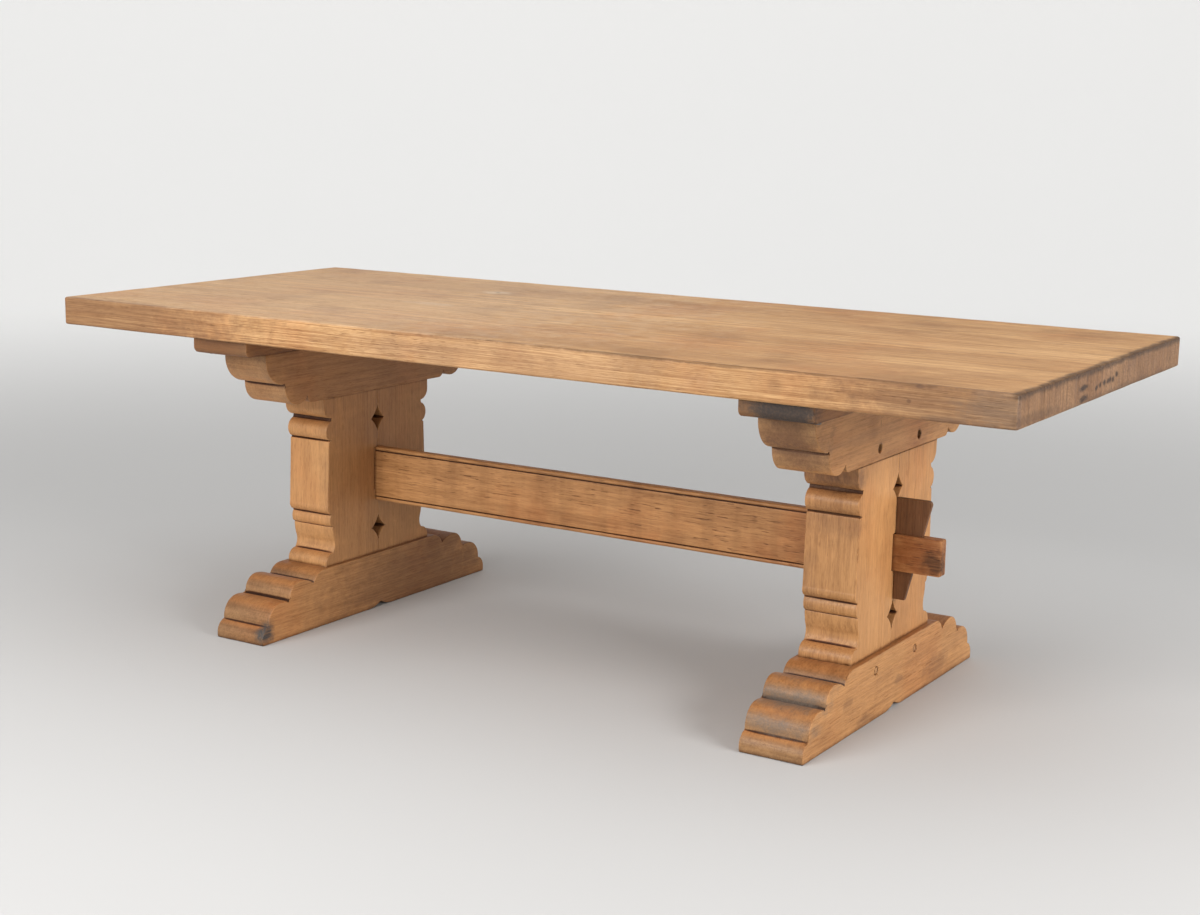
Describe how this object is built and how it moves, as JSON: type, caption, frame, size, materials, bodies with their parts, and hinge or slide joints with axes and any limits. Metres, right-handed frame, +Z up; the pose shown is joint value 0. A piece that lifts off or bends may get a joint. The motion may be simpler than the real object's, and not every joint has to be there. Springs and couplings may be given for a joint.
{
  "type": "trestle dining table",
  "caption": "Oak trestle dining table: a thick plank top on scrolled caps, moulded posts and stepped feet, tied by a beaded stretcher with wedged through tenons.",
  "frame": {"origin": "on the floor under the middle of the top", "axes": "+X along the top, +Y across it to the back, +Z up"},
  "size_m": [2.3, 0.966, 0.76],
  "materials": {
    "top_oak": "worn, waxed",
    "base_oak": "worn, waxed",
    "dark_oak": "darkened, dry",
    "screw_steel": "dull"
  },
  "bodies": {
    "table": {"top_plank_1": "top_oak", "top_plank_2": "top_oak", "top_plank_3": "top_oak", "top_plank_4": "top_oak", "top_plank_5": "top_oak", "top_plank_6": "top_oak", "top_plank_7": "top_oak", "plank_tongues": "top_oak", "stretcher": "base_oak", "left_bearer": "base_oak", "left_cap": "base_oak", "left_front_post_board": "base_oak", "left_back_post_board": "base_oak", "left_foot": "base_oak", "right_bearer": "base_oak", "right_cap": "base_oak", "right_front_post_board": "base_oak", "right_back_post_board": "base_oak", "right_foot": "base_oak", "left_cap_pegs": "dark_oak", "left_foot_pegs": "dark_oak", "right_cap_pegs": "dark_oak", "right_foot_pegs": "dark_oak", "left_cap_keys": "base_oak", "left_post_keys": "base_oak", "right_cap_keys": "base_oak", "right_post_keys": "base_oak", "left_bearer_screws": "screw_steel", "right_bearer_screws": "screw_steel"},
    "left_wedge": {"left_wedge": "dark_oak"},
    "right_wedge": {"right_wedge": "dark_oak"}
  },
  "joints": [
    {"name": "left_wedge_lift", "type": "slide", "parent": "table", "child": "left_wedge", "axis": [0, 0, 1], "range_m": [0, 0.135]},
    {"name": "right_wedge_lift", "type": "slide", "parent": "table", "child": "right_wedge", "axis": [0, 0, 1], "range_m": [0, 0.135]}
  ]
}
